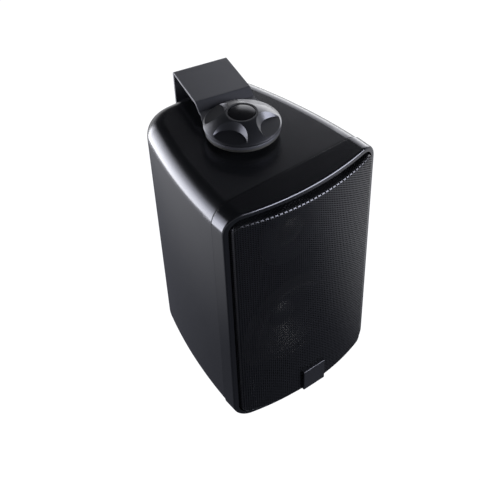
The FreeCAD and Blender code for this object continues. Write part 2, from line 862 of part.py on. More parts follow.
def grille():
    """Bowed steel tray with folded edges; each slot stands for a column of fine holes."""
    body = new_body("grille")
    seat(body)
    face = new_sketch(body, "XZ_Plane", S.ledge_depth)
    rounded_outline(face, -grille_half, grille_half, -grille_top, grille_top, S.grille_corner)
    pad(body, face, grille_front)
    bowed = cut_bow(body, grille_front, grille_radius, grille_half)
    bent = fillet(body, bowed, S.grille_bend, on_bowed_face(bowed, grille_radius))
    doc.recompute()
    back = [f"Face{number}" for number, face in enumerate(bent.Shape.Faces, start=1)
            if near(face.CenterOfMass.y, -S.ledge_depth)]
    tray = body.newObject("PartDesign::Thickness", "grille_tray")
    tray.Base = (bent, back)
    tray.Reversed = True
    bind(tray, "Value", S.grille_sheet)

    pitch = (grille_half - S.slot_margin) * 2 / S.slot_count
    first = pitch * (1 - S.slot_count) / 2
    end = grille_top - S.grille_bend * 2
    bridge = S.slot_bridge / 2
    slots = new_sketch(body, "XZ_Plane", S.ledge_depth)
    left = first - S.slot_width / 2
    right = first + S.slot_width / 2
    box_outline(slots, left, right, -end, -bridge)
    box_outline(slots, left, right, bridge, end)
    cut = pocket(body, slots, grille_front)
    doc.recompute()
    row = body.newObject("PartDesign::LinearPattern", "grille_slots")
    row.Originals = [cut]
    row.Direction = (origin_feature(body, "X_Axis"), [""])
    bind(row, "Length", pitch * (S.slot_count - 1))
    bind(row, "Occurrences", S.slot_count)
    body.Tip = row


def badge():
    """Bare block near the foot of the grille, hollowed at the back to the grille's bow."""
    body = new_body("badge")
    seat(body)
    half = S.badge_width / 2
    back_radius = grille_radius + S.badge_gap
    edge = grille_radius - grille_front - root(back_radius * back_radius - half * half)
    front = -grille_front - S.badge_proud
    sketch = new_sketch(body, "XY_Plane", S.badge_foot - grille_top)
    outline(sketch, [(-half, front), (half, front), (half, edge), (-half, edge)], {2: -back_radius})
    block = pad(body, sketch, S.badge_height)
    fillet(body, block, S.badge_edge, lambda edge: near(edge.CenterOfMass.y, front))


# Woofer: heights are counted to the front from the baffle

woofer_place = dict(y=S.baffle_setback, z=-woofer_drop, rotation=FACING_FRONT)
flange = S.basket_sheet
neck = S.coil_radius + S.former_thick + S.glue_gap
neck_depth = flange - S.cone_depth
magnet_face = -S.basket_depth - S.top_plate_thick
yoke_face = magnet_face - S.magnet_thick


def woofer():
    sheet = S.basket_sheet
    mouth = S.basket_mouth
    waist = S.basket_waist
    throat = S.basket_throat
    shelf = -S.basket_shelf
    bottom = -S.basket_depth
    basket = turned("woofer_basket", [
        (mouth, flange), (mouth, -S.basket_wall), (waist, shelf), (throat, shelf), (throat, bottom + sheet),
        (S.seat_hole, bottom + sheet), (S.seat_hole, bottom), (throat + sheet, bottom),
        (throat + sheet, shelf - sheet), (waist + sheet / 2, shelf - sheet),
        (mouth + sheet, -S.basket_wall - sheet / 2), (mouth + sheet, ZERO), (S.woofer_radius, ZERO),
        (S.woofer_radius, flange)], **woofer_place)
    windows = new_sketch(basket, "XY_Plane", -S.basket_wall)
    window_circle = (mouth + waist) / 2
    for x, y in ring_of(S.basket_window_count):
        circle(windows, (window_circle * x, window_circle * y), S.basket_window)
    pocket(basket, windows, S.basket_shelf, along=False)
    holes = new_sketch(basket, "XY_Plane")
    for x, y in driver_screw_ring():
        circle(holes, (driver_screw_circle * x, driver_screw_circle * y), S.screw_radius + S.screw_clearance)
    pocket(basket, holes, flange * 2)

    cone_edge = S.cone_radius - S.cone_rim
    turned("woofer_cone", [
        (S.cone_radius, flange), (cone_edge, flange), (neck, neck_depth), (neck, neck_depth - S.cone_thick),
        (cone_edge, flange - S.cone_thick), (S.cone_radius, flange - S.cone_thick)], **woofer_place)

    thick = S.surround_thick
    roll = (mouth - S.cone_radius) / 2 + thick
    middle = S.cone_radius + roll
    hollow = roll - thick
    shoulder = root(roll * roll - thick * thick)
    surround_edge = driver_screw_circle - S.screw_head_radius - S.surround_edge_gap
    turned("woofer_surround", [
        (cone_edge, flange), (middle - hollow, flange), (middle, flange + hollow), (middle + hollow, flange),
        (surround_edge, flange), (surround_edge, flange + thick),
        (middle + shoulder, flange + thick), (middle, flange + roll), (middle - shoulder, flange + thick),
        (cone_edge, flange + thick)],
        {1: -hollow, 2: -hollow, 6: roll, 7: roll}, **woofer_place)

    fall = (flange - neck_depth) / (cone_edge - neck)
    cap_foot = neck_depth + fall * (S.dust_cap_radius - neck) + S.glue_gap
    cap_inner = S.dust_cap_radius - S.cone_thick
    turned("dust_cap", [
        (ZERO, cap_foot + S.dust_cap_rise - S.cone_thick), (cap_inner, cap_foot),
        (S.dust_cap_radius, cap_foot),
        (ZERO, cap_foot + S.dust_cap_rise)],
        {0: -arc_radius(cap_inner, S.dust_cap_rise - S.cone_thick),
         2: arc_radius(S.dust_cap_radius, S.dust_cap_rise)}, **woofer_place)

    inside = S.coil_radius
    outside = inside + S.former_thick
    foot = neck_depth - S.former_length
    turned("voice_coil", [
        (inside, foot), (outside + S.winding_thick, foot),
        (outside + S.winding_thick, foot + S.winding_height),
        (outside, foot + S.winding_height), (outside, neck_depth), (inside, neck_depth)], **woofer_place)

    spider(outside + S.glue_gap, throat, waist, shelf)

    gap = outside + S.winding_thick + S.coil_gap
    turned("woofer_top_plate", [(gap, magnet_face), (S.top_plate_radius, magnet_face),
                                (S.top_plate_radius, bottom), (gap, bottom)], **woofer_place)
    turned("woofer_magnet", [(S.magnet_bore, yoke_face), (S.magnet_radius, yoke_face),
                             (S.magnet_radius, magnet_face), (S.magnet_bore, magnet_face)], **woofer_place)
    pole = S.coil_radius - S.pole_gap
    turned("woofer_yoke", [(ZERO, yoke_face - S.yoke_thick), (S.yoke_radius, yoke_face - S.yoke_thick),
                           (S.yoke_radius, yoke_face), (pole, yoke_face), (pole, bottom), (ZERO, bottom)],
           **woofer_place)
    driver_screws("woofer_screws", driver_screw_circle, flange, woofer_place)


def spider(inner, throat, waist, shelf):
    """Corrugated cloth disc that centres the coil: three waves between the collar and the shelf."""
    folds = int(S.spider_folds.value)
    step = (throat - inner) / S.spider_folds
    ridge = shelf + S.spider_thick + S.spider_wave * 2
    dip = shelf + S.spider_thick
    face = [(inner + step * number, ridge if number % 2 else dip) for number in range(folds + 1)]
    face.append((waist, dip))
    back = [(r, z - S.spider_thick) for r, z in reversed(face)]
    turned("woofer_spider", face + back, **woofer_place)


def driver_screws(label, circle_radius, height, place):
    shape = screw_shape(S.screw_radius.value, S.baffle_thick.value + height.value,
                        S.screw_head_radius.value, S.screw_head_thick.value)
    reach = circle_radius.value
    places = [(reach * x, reach * y, height.value) for x, y in driver_screw_ring()]
    group(label, shape, places, **place)


# Tweeter

def tweeter():
    """Dome tweeter: face plate, bonded dome with its coil former, and a ring-magnet motor."""
    place = dict(y=S.baffle_setback, z=tweeter_rise, rotation=FACING_FRONT)
    edge = S.face_thick - S.horn_lip / 2
    plate = turned("tweeter_face_plate", [
        (S.horn_throat, ZERO), (S.tweeter_radius, ZERO), (S.tweeter_radius, edge),
        (S.tweeter_radius - S.horn_lip / 2, S.face_thick), (S.horn_mouth, S.face_thick),
        (S.horn_throat, S.horn_lip)], **place)
    holes = new_sketch(plate, "XY_Plane")
    for x, y in driver_screw_ring():
        circle(holes, (face_screw_circle * x, face_screw_circle * y), S.screw_radius + S.screw_clearance)
    pocket(plate, holes, S.face_thick * 2)

    thick = S.dome_thick
    rim = S.horn_throat - S.glue_gap
    inside = S.dome_radius - thick
    turned("tweeter_dome", [
        (inside, -S.dome_skirt), (S.dome_radius, -S.dome_skirt), (S.dome_radius, ZERO),
        (rim, ZERO), (rim, thick),
        (S.dome_radius, thick), (ZERO, thick + S.dome_rise), (ZERO, S.dome_rise), (inside, ZERO)],
        {5: arc_radius(S.dome_radius, S.dome_rise), 7: -arc_radius(inside, S.dome_rise)}, **place)

    gap = S.dome_radius + S.coil_gap
    magnet_back = -S.motor_plate - S.motor_magnet
    turned("tweeter_top_plate", [(gap, -S.motor_plate), (S.motor_radius, -S.motor_plate),
                                 (S.motor_radius, ZERO), (gap, ZERO)], **place)
    turned("tweeter_magnet", [(S.motor_bore, magnet_back), (S.motor_radius, magnet_back),
                              (S.motor_radius, -S.motor_plate), (S.motor_bore, -S.motor_plate)], **place)
    pole = inside - S.pole_gap
    yoke_back = magnet_back - S.motor_plate
    turned("tweeter_yoke", [(ZERO, yoke_back), (S.motor_radius - S.motor_plate / 2, yoke_back),
                            (S.motor_radius - S.motor_plate / 2, magnet_back), (pole, magnet_back),
                            (pole, -S.pole_gap), (ZERO, -S.pole_gap)], **place)
    driver_screws("tweeter_screws", face_screw_circle, S.face_thick, place)


def frame_screws():
    """Four long screws that pull the front frame onto the shell."""
    length = S.baffle_thick + S.screw_length - S.screw_radius
    shape = screw_shape(S.screw_radius.value, length.value,
                        S.screw_head_radius.value, S.screw_head_thick.value)
    places = [(x * post_across.value, z * post_up.value, 0) for x in (-1, 1) for z in (-1, 1)]
    group("frame_screws", shape, places, y=S.baffle_setback, rotation=FACING_FRONT)


# Terminal cup, levers and contacts

cup_floor = S.cup_depth - S.cup_wall
well_width = (S.cup_width - S.cup_wall * 2 - S.cup_rib) / 2
well_middle = (S.cup_rib + well_width) / 2
well_high = S.cup_height / 2 - S.cup_wall
pivot_depth = S.lever_sink + S.lever_thick / 2
pivot_height = S.lever_pivot_rise - cup_drop
tag_height = -cup_drop - well_high / 2


def terminal_cup():
    """Recessed cup in the rear wall with two wells, a pivot bore across and posts for the board."""
    body = new_body("terminal_cup")
    seat(body)
    half = S.cup_width / 2
    tall = S.cup_height / 2
    plate = new_sketch(body, "XZ_Plane", -S.cabinet_depth)
    box_outline(plate, -half - S.cup_flange, half + S.cup_flange, -cup_drop - tall - S.cup_flange,
                -cup_drop + tall + S.cup_flange)
    pad(body, plate, S.cup_flange_thick, along=False)
    box = new_sketch(body, "XZ_Plane", -S.cabinet_depth)
    box_outline(box, -half, half, -cup_drop - tall, -cup_drop + tall)
    pad(body, box, S.cup_depth)
    wells = new_sketch(body, "XZ_Plane", -S.cabinet_depth - S.cup_flange_thick)
    for side in (-1, 1):
        middle = well_middle * side
        box_outline(wells, middle - well_width / 2, middle + well_width / 2, -cup_drop - well_high,
                    -cup_drop + well_high)
    pocket(body, wells, cup_floor + S.cup_flange_thick)

    pivots = new_sketch(body, "YZ_Plane")
    circle(pivots, (S.cabinet_depth - pivot_depth, pivot_height), S.pin_radius + S.pin_clearance)
    pocket_through(body, pivots)

    slots = new_sketch(body, "XZ_Plane", cup_floor - S.cabinet_depth)
    reach = S.leaf_width / 2 + S.tag_clearance
    for side in (-1, 1):
        middle = well_middle * side
        box_outline(slots, middle - reach, middle + reach, tag_height - S.tag_clearance,
                    tag_height + S.leaf_thick + S.tag_clearance)
    pocket(body, slots, S.cup_wall * 2)

    posts = new_sketch(body, "XZ_Plane", S.cup_depth - S.cabinet_depth)
    for x_side in (-1, 1):
        for z_side in (-1, 1):
            circle(posts, (S.standoff_across / 2 * x_side, S.standoff_across / 2 * z_side - cup_drop),
                   S.standoff_radius)
    pad(body, posts, S.standoff_height)

    screws = new_sketch(body, "XZ_Plane", -S.cabinet_depth - S.cup_flange_thick)
    for place in cup_screw_places():
        circle(screws, place, S.cup_screw_radius + S.screw_clearance)
    pocket(body, screws, S.cup_flange_thick * 2)


def terminal_screws():
    shape = screw_shape(S.cup_screw_radius.value, S.cup_flange_thick.value + S.shell_wall.value,
                        S.cup_screw_head.value, S.cup_screw_head_thick.value)
    facing_rear = FreeCAD.Rotation(FreeCAD.Vector(1, 0, 0), -90)
    places = [(x.value, -z.value, 0) for x, z in cup_screw_places()]
    group("terminal_screws", shape, places, y=S.cabinet_depth + S.cup_flange_thick, rotation=facing_rear)


def terminal_lever(label, side):
    """Push lever with its own pivot pins and a thumb ridge at the tip."""
    body = new_body(label)
    width = well_width - S.lever_side_gap * 2
    middle = well_middle * side
    outer = S.cabinet_depth - S.lever_sink
    inner = outer - S.lever_thick
    tip = pivot_height - S.lever_reach
    ridge = outer + S.lever_thumb
    seat(body, x=middle)
    profile = new_sketch(body, "YZ_Plane")
    outline(profile, [(inner, tip), (ridge, tip), (ridge, tip + S.lever_thumb),
                      (outer, tip + S.lever_thumb * 2),
                      (outer, pivot_height + S.pin_radius), (inner, pivot_height + S.pin_radius)])
    pad_both(body, profile, width)
    pins = new_sketch(body, "YZ_Plane")
    circle(pins, (outer - S.lever_thick / 2, pivot_height), S.pin_radius)
    pad_both(body, pins, width + (S.lever_side_gap + S.pin_reach) * 2)


def terminal_contacts():
    """Two bronze leaves on the floor of the wells, each with a tag through to the board."""
    floor = (S.cabinet_depth - cup_floor).value
    width = S.leaf_width.value
    thick = S.leaf_thick.value
    low = tag_height.value
    leaf = Part.makeBox(width, thick, S.leaf_length.value, FreeCAD.Vector(-width / 2, floor, low))
    reach = S.tag_reach.value
    tag = Part.makeBox(width, reach, thick, FreeCAD.Vector(-width / 2, floor - reach, low))
    shape = leaf.fuse(tag).removeSplitter()
    group("terminal_contacts", shape, [(well_middle.value * side, 0, 0) for side in (-1, 1)])


# Crossover on the back of the terminal cup

board_back = S.cabinet_depth - S.cup_depth - S.standoff_height
board_front = board_back - S.board_thick


def crossover():
    """Board with its coil, capacitor and resistor."""
    board = new_body("crossover_board")
    seat(board)
    half = S.board_width / 2
    tall = S.board_height / 2
    sketch = new_sketch(board, "XZ_Plane", -board_back)
    box_outline(sketch, -half, half, -cup_drop - tall, -cup_drop + tall)
    reach = S.leaf_width / 2 + S.tag_clearance
    for side in (-1, 1):
        middle = well_middle * side
        box_outline(sketch, middle - reach, middle + reach, tag_height - S.tag_clearance,
                    tag_height + S.leaf_thick + S.tag_clearance)
    pad(board, sketch, S.board_thick)

    turned("crossover_coil", [(S.coil_inner, ZERO), (S.coil_outer, ZERO), (S.coil_outer, S.coil_height),
                              (S.coil_inner, S.coil_height)],
           x=-S.coil_offset, y=board_front, z=-cup_drop, rotation=FACING_FRONT)

    can = new_body("crossover_capacitor")
    seat(can, x=S.part_offset, y=board_front - S.capacitor_radius, z=S.part_rise - cup_drop)
    end = new_sketch(can, "YZ_Plane")
    circle(end, (ZERO, ZERO), S.capacitor_radius)
    pad_both(can, end, S.capacitor_length)

    block = new_body("crossover_resistor")
    seat(block, x=S.part_offset, y=board_front, z=-S.part_rise - cup_drop)
    face = new_sketch(block, "YZ_Plane")
    box_outline(face, -S.resistor_side, ZERO, -S.resistor_side / 2, S.resistor_side / 2)
    pad_both(block, face, S.resistor_length)


def damping_wadding():
    """Block of fibre wadding against the rear wall, above the terminal cup."""
    body = new_body("damping_wadding")
    back = S.cabinet_depth - S.shell_wall - S.wadding_gap
    seat(body)
    sketch = new_sketch(body, "XZ_Plane", -back)
    half = S.wadding_width / 2
    low = S.board_height / 2 + S.wadding_margin - cup_drop
    box_outline(sketch, -half, half, low, top - S.wadding_margin)
    block = pad(body, sketch, S.wadding_thick)
    fillet(body, block, S.wadding_corner, lambda edge: along_axis(edge, "y"))


# Build, test and write

wall_bracket()
cabinet_shell()
for name, side in ends:
    pivot_stack(name, side)
front_frame()
frame_seal()
grille()
badge()
woofer()
tweeter()
frame_screws()
terminal_cup()
terminal_screws()
terminal_lever("red_lever", 1)
terminal_lever("black_lever", -1)
terminal_contacts()
crossover()
damping_wadding()
doc.recompute()

for item in doc.Objects:
    if "Invalid" in item.State or "Error" in item.State:
        raise RuntimeError(f"{item.Name} failed: {item.State}")
for label, item in nodes.items():
    if item.Shape.isNull() or not item.Shape.isValid() or not item.Shape.Solids:
        raise RuntimeError(f"{label} has no sound shape")

os.makedirs("parts", exist_ok=True)
for label, item in nodes.items():
    item.Shape.exportStep(f"parts/{item.Label}.step")
    print(f"{label}: {len(item.Shape.Solids)} solid, {item.Shape.Volume / 1000:.2f} cm3")
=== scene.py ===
import logging
import math
from dataclasses import dataclass
from enum import Enum
from typing import Any

import bpy
from mathutils import Matrix, Vector


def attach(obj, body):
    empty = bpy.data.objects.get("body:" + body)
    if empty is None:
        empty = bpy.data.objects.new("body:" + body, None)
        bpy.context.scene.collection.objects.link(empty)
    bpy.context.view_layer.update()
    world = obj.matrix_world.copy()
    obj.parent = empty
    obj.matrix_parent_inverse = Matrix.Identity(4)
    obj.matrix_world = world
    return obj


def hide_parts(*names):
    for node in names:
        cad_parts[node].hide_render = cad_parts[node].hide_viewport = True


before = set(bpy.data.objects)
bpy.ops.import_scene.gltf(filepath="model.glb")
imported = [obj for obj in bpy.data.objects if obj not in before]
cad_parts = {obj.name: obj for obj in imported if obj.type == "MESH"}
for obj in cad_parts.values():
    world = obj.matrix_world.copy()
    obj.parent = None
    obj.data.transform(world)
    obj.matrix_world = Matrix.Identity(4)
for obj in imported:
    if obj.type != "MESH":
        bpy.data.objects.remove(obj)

LOG = logging.getLogger("loudspeaker")
MM = 0.001
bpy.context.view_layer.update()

Colour = tuple[float, float, float, float]
Place = tuple[float, float]
Point = tuple[float, float, float]

WHITE: Colour = (1.0, 1.0, 1.0, 1.0)
# Sockets of the mix node for colours: the two that it takes and the one that it gives.
MIX_FROM, MIX_TO, MIXED = 6, 7, 2

TONE_DETAIL = 3.0
FINE_DETAIL = 2.0
FIBRE_DETAIL = 6.0
# Patches of gloss are smaller than those of tone by this factor.
GLOSS_PATCHES = 2.3
# The roughness drifts between these shares of its middle value.
LEAST_ROUGH, MOST_ROUGH = 0.93, 1.07
BUMP_STRENGTH = 0.6
# Brings the wave pattern to one repeat in about two threads.
WEAVE_REPEAT = 6.3
THREAD_WANDER = 0.6
# Turning marks run long across the upright axis and lie close along it.
TURNING_STRETCH = (0.15, 0.15, 1.0)


def linear(code: str) -> Colour:
    """Turns an sRGB hex code into a linear colour.

    Args:
        code: six hex digits, such as "1a1b1d".

    Returns:
        Red, green, blue and alpha, linear.
    """
    parts = [int(code[at:at + 2], 16) / 255 for at in (0, 2, 4)]
    red, green, blue = [part / 12.92 if part <= 0.04045 else ((part + 0.055) / 1.055) ** 2.4
                        for part in parts]
    return red, green, blue, 1.0


def add_node(tree: bpy.types.NodeTree, kind: str, values: dict[str | int, Any] | None = None,
             links: dict[str | int, bpy.types.NodeSocket] | None = None) -> bpy.types.Node:
    """Adds one shader node.

    Args:
        tree: the node tree it goes into.
        kind: Blender's name of the node type.
        values: settings; a name that starts with a dot is a property of the node, any other an
            input socket.
        links: sockets of other nodes that feed this one's inputs.

    Returns:
        The new node.
    """
    node = tree.nodes.new(kind)
    for name, value in (values or {}).items():
        if str(name).startswith("."):
            setattr(node, name[1:], value)
        else:
            node.inputs[name].default_value = value
    for name, socket in (links or {}).items():
        tree.links.new(socket, node.inputs[name])
    return node


class Surface(Enum):
    """How a surface was made, which decides the form of its fine relief."""

    MOULDED = "moulded"
    POWDER = "powder coated"
    TURNED = "turned"
    WOVEN = "woven"
    FIBRE = "fibre"


class End(Enum):
    """The end of the cabinet that a hand knob holds."""

    UPPER = "upper"
    LOWER = "lower"


@dataclass(frozen=True)
class Finish:
    """A real material with its surface.

    Attributes:
        name: common name of the material.
        colour: main colour, sRGB hex.
        tone: colour of the slow drift of tone, sRGB hex.
        roughness: middle value of the gloss.
        made: how the surface was made.
        grain_mm: size of one grain of the fine relief.
        relief_mm: height of that relief.
        drift_mm: size of the patches of the slow drift.
        metallic: 1 for bare metal.
        ior: refractive index of a plastic, paint or rubber.
        specular: level of the reflection, 0.5 for the plain one.
        tint: tint of the reflection, sRGB hex.
        sheen: share of fuzz.
    """

    name: str
    colour: str
    tone: str
    roughness: float
    made: Surface
    grain_mm: float
    relief_mm: float
    drift_mm: float = 40.0
    metallic: float = 0.0
    ior: float = 1.5
    specular: float = 0.5
    tint: str = "ffffff"
    sheen: float = 0.0

    def put_on(self, thing: bpy.types.Object) -> None:
        """Gives an object this finish all over."""
        thing.data.materials.clear()
        thing.data.materials.append(self.material())

    def material(self) -> bpy.types.Material:
        """Builds the Blender material.

        Returns:
            The material, made once for each finish.
        """
        if self.name in bpy.data.materials:
            return bpy.data.materials[self.name]
        made = bpy.data.materials.new(self.name)
        made.use_nodes = True
        tree = made.node_tree
        shader = tree.nodes["Principled BSDF"]
        place = add_node(tree, "ShaderNodeTexCoord").outputs["Object"]
        self._colour(tree, shader, place)
        self._gloss(tree, shader, place)
        self._relief(tree, shader, place)
        return made

    def _colour(self, tree: bpy.types.NodeTree, shader: bpy.types.Node,
                place: bpy.types.NodeSocket) -> None:
        """Lets the colour drift slowly between the two tones.

        Args:
            tree: the material's node tree.
            shader: the node that takes the colour.
            place: the place on the piece.
        """
        drift = add_node(tree, "ShaderNodeTexNoise",
                         {"Scale": 1 / (self.drift_mm * MM), "Detail": TONE_DETAIL},
                         {"Vector": place})
        mix = add_node(tree, "ShaderNodeMix",
                       {".data_type": "RGBA", MIX_FROM: linear(self.colour),
                        MIX_TO: linear(self.tone)},
                       {"Factor": drift.outputs["Fac"]})
        tree.links.new(mix.outputs[MIXED], shader.inputs["Base Color"])

    def _gloss(self, tree: bpy.types.NodeTree, shader: bpy.types.Node,
               place: bpy.types.NodeSocket) -> None:
        """Sets the reflection and lets its roughness drift a little.

        Args:
            tree: the material's node tree.
            shader: the node that takes the reflection.
            place: the place on the piece.
        """
        patches = add_node(tree, "ShaderNodeTexNoise",
                           {"Scale": GLOSS_PATCHES / (self.drift_mm * MM), "Detail": FINE_DETAIL},
                           {"Vector": place})
        spread = add_node(tree, "ShaderNodeMapRange",
                          {"To Min": self.roughness * LEAST_ROUGH,
                           "To Max": min(1.0, self.roughness * MOST_ROUGH)},
                          {"Value": patches.outputs["Fac"]})
        tree.links.new(spread.outputs["Result"], shader.inputs["Roughness"])
        settings: dict[str, Any] = {"Metallic": self.metallic, "Sheen Weight": self.sheen}
        if not self.metallic:
            settings |= {"IOR": self.ior, "Specular IOR Level": self.specular,
                         "Specular Tint": linear(self.tint)}
        for name, value in settings.items():
            shader.inputs[name].default_value = value

    def _relief(self, tree: bpy.types.NodeTree, shader: bpy.types.Node,
                place: bpy.types.NodeSocket) -> None:
        """Adds the fine relief that the way of making leaves.

        Args:
            tree: the material's node tree.
            shader: the node that takes the relief.
            place: the place on the piece.
        """
        scale = 1 / (self.grain_mm * MM)
        if self.made is Surface.WOVEN:
            warp, weft = [add_node(tree, "ShaderNodeTexWave",
                                   {".bands_direction": axis, "Scale": scale / WEAVE_REPEAT,
                                    "Distortion": THREAD_WANDER},
                                   {"Vector": place}).outputs["Fac"] for axis in ("X", "Z")]
            height = add_node(tree, "ShaderNodeMath", {".operation": "MULTIPLY"},
                              {0: warp, 1: weft}).outputs["Value"]
        elif self.made is Surface.TURNED:
            marks = add_node(tree, "ShaderNodeMapping", {"Scale": TURNING_STRETCH},
                             {"Vector": place})
            height = add_node(tree, "ShaderNodeTexNoise", {"Scale": scale, "Detail": FINE_DETAIL},
                              {"Vector": marks.outputs["Vector"]}).outputs["Fac"]
        elif self.made is Surface.POWDER:
            height = add_node(tree, "ShaderNodeTexVoronoi",
                              {"Scale": scale, ".feature": "SMOOTH_F1"},
                              {"Vector": place}).outputs["Distance"]
        else:
            detail = FIBRE_DETAIL if self.made is Surface.FIBRE else FINE_DETAIL
            height = add_node(tree, "ShaderNodeTexNoise", {"Scale": scale, "Detail": detail},
                              {"Vector": place}).outputs["Fac"]
        bump = add_node(tree, "ShaderNodeBump",
                        {"Strength": BUMP_STRENGTH, "Distance": self.relief_mm * MM},
                        {"Height": height})
        tree.links.new(bump.outputs["Normal"], shader.inputs["Normal"])


# The grain of moulded and turned surfaces and of the weaves is finer on the real ones than a pixel
# of the render, so it is drawn as coarse as it needs to show.
# Reflections on the black pieces are a little cool.
COOL = "e6e9ff"
# Satin black ABS: deep black with a cool, soft-edged reflection on every round.
CABINET_ABS = Finish("ABS moulded satin cabinet", "08090b", "0b0c0e", 0.25, Surface.MOULDED,
                     0.7, 0.004, tint=COOL)
# The frame comes from a smoother tool, so its rims carry a crisper line.
FRAME_ABS = Finish("ABS moulded satin frame", "08090b", "0b0c0e", 0.18, Surface.MOULDED,
                   0.7, 0.003, tint=COOL)
# Powder coat on steel: a shade greyer than the cabinet, with a fine orange peel.
POWDER_STEEL = Finish("Steel powder coated black", "26272c", "2b2c31", 0.46, Surface.POWDER,
                      1.1, 0.02, tint=COOL)
# Thin paint on punched sheet: dark, with small glints on the edges of the holes.
GRILLE_PAINT = Finish("Steel sheet painted black", "060709", "090a0c", 0.3, Surface.MOULDED,
                      0.5, 0.003, tint=COOL)
# Textured ABS of the knob: greyer, and its flanks light up broadly.
KNOB_ABS = Finish("ABS moulded fine texture", "101114", "141518", 0.32, Surface.MOULDED,
                  0.45, 0.01, tint=COOL)
# Gloss black disc: a dark pool in the knob, with a faint soft shine.
CAP_GLOSS = Finish("ABS moulded gloss", "0b0b0d", "0e0e10", 0.2, Surface.MOULDED,
                   2.0, 0.002, specular=0.3, tint=COOL)
# The bare block at the foot of the grille: satin, a little greyer and duller than the frame.
BADGE_ABS = Finish("ABS moulded badge", "0f1013", "131417", 0.24, Surface.MOULDED,
                   0.9, 0.003, tint=COOL)
# Matt rubber of the friction washers.
RUBBER = Finish("EPDM rubber moulded", "131314", "181819", 0.62, Surface.MOULDED, 0.6, 0.01)
# Foam of the seal between shell and frame: dull, with fine pores.
FOAM = Finish("PE foam die cut", "18181a", "1e1e20", 0.85, Surface.FIBRE, 0.4, 0.03)
# Bright zinc on studs, washers and motor parts: pale with fine turning marks.
ZINC = Finish("Steel zinc plated", "c4c6ca", "b4b7bd", 0.32, Surface.TURNED,
              0.25, 0.004, metallic=1.0)
# Black oxide on the screws: a dark, half-dull metal.
OXIDE = Finish("Steel black oxide", "26262a", "313136", 0.38, Surface.TURNED,
               0.3, 0.004, metallic=1.0)
# Turned brass of the threaded inserts: yellow, with fine marks.
BRASS = Finish("Brass turned", "b9923f", "a8822f", 0.3, Surface.TURNED, 0.25, 0.004, metallic=1.0)
# Pressed steel basket in black paint: half-dull, with a slight orange peel.
BASKET_PAINT = Finish("Steel pressed and painted", "0d0d0f", "111113", 0.48, Surface.POWDER,
                      0.9, 0.01)
# Polypropylene cone: dark grey with a broad soft shine.
CONE_PP = Finish("Polypropylene moulded cone", "17181a", "1b1c1e", 0.4, Surface.MOULDED, 1.2, 0.01)
# Polypropylene dust cap: smoother, so it holds a bright spot.
CAP_PP = Finish("Polypropylene moulded cap", "1e1f22", "232427", 0.32, Surface.MOULDED, 1.2, 0.004)
# Butyl rubber roll round the cone: black, with a dull shine.
BUTYL = Finish("Butyl rubber moulded roll", "0b0b0c", "0e0e0f", 0.5, Surface.MOULDED, 0.7, 0.006)
# Resin-treated cloth of the spider: dull yellow-brown weave.
SPIDER_CLOTH = Finish("Cotton resin treated", "a9833d", "8f6c2e", 0.8, Surface.WOVEN,
                      0.8, 0.1, sheen=0.2)
# Enamelled copper wire on the coils: red-brown and fairly bright.
COPPER = Finish("Copper wire enamelled", "b06a3a", "8f4f27", 0.35, Surface.TURNED,
                0.5, 0.05, metallic=1.0)
# Sintered ferrite: dull charcoal with a granular break.
FERRITE = Finish("Ferrite sintered", "2a2a2c", "38383a", 0.6, Surface.MOULDED, 0.5, 0.03)
# Coated silk of the dome: black with a faint weave.
SILK = Finish("Silk coated", "101113", "141517", 0.55, Surface.WOVEN, 0.4, 0.02, sheen=0.15)
# Matt ABS of the tweeter's face plate and the terminal cup: black without a clear reflection.
MATT_ABS = Finish("ABS moulded matt", "101113", "141517", 0.5, Surface.MOULDED,
                  0.6, 0.01, tint=COOL)
# Laminate under a green solder mask: smooth, with a trace of the weave.
LAMINATE = Finish("Glass laminate solder masked", "1f5a34", "1a4e2d", 0.35, Surface.WOVEN,
                  0.9, 0.01)
# Blue shrunk sleeve of the capacitor: smooth and shiny.
SLEEVE = Finish("PVC sleeve shrunk", "27356f", "1f2b5c", 0.28, Surface.MOULDED, 1.5, 0.01)
# White cement body of the resistor: chalky.
CEMENT = Finish("Cement cast", "d8d4c8", "c9c4b6", 0.8, Surface.FIBRE, 0.4, 0.04)
# Red and black ABS of the push levers: smooth and shiny.
RED_ABS = Finish("ABS moulded red", "a01818", "8f1414", 0.28, Surface.MOULDED, 0.9, 0.004)
BLACK_ABS = Finish("ABS moulded black", "121214", "161618", 0.28, Surface.MOULDED, 0.9, 0.004)
# Spring bronze of the contacts: brownish yellow, with rolling marks.
BRONZE = Finish("Bronze spring tempered", "b0894f", "9c7740", 0.3, Surface.TURNED,
                0.3, 0.004, metallic=1.0)
# Loose white polyester fibre: soft, without any shine.
WADDING = Finish("Polyester fibre carded", "dfdfdc", "c9c9c6", 0.95, Surface.FIBRE,
                 1.5, 0.6, sheen=0.4)


@dataclass(frozen=True)
class SubAssembly:
    """CAD pieces that are fitted together, with the finish of each.

    Attributes:
        name: what the group is called.
        finishes: finish of each piece, by the piece's name in the frame.
    """

    name: str
    finishes: dict[str, Finish]

    def dress(self) -> None:
        """Gives every piece its finish."""
        for piece, finish in self.finishes.items():
            finish.put_on(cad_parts[piece])
            LOG.info("%s, %s: %s", self.name, piece, finish.name)


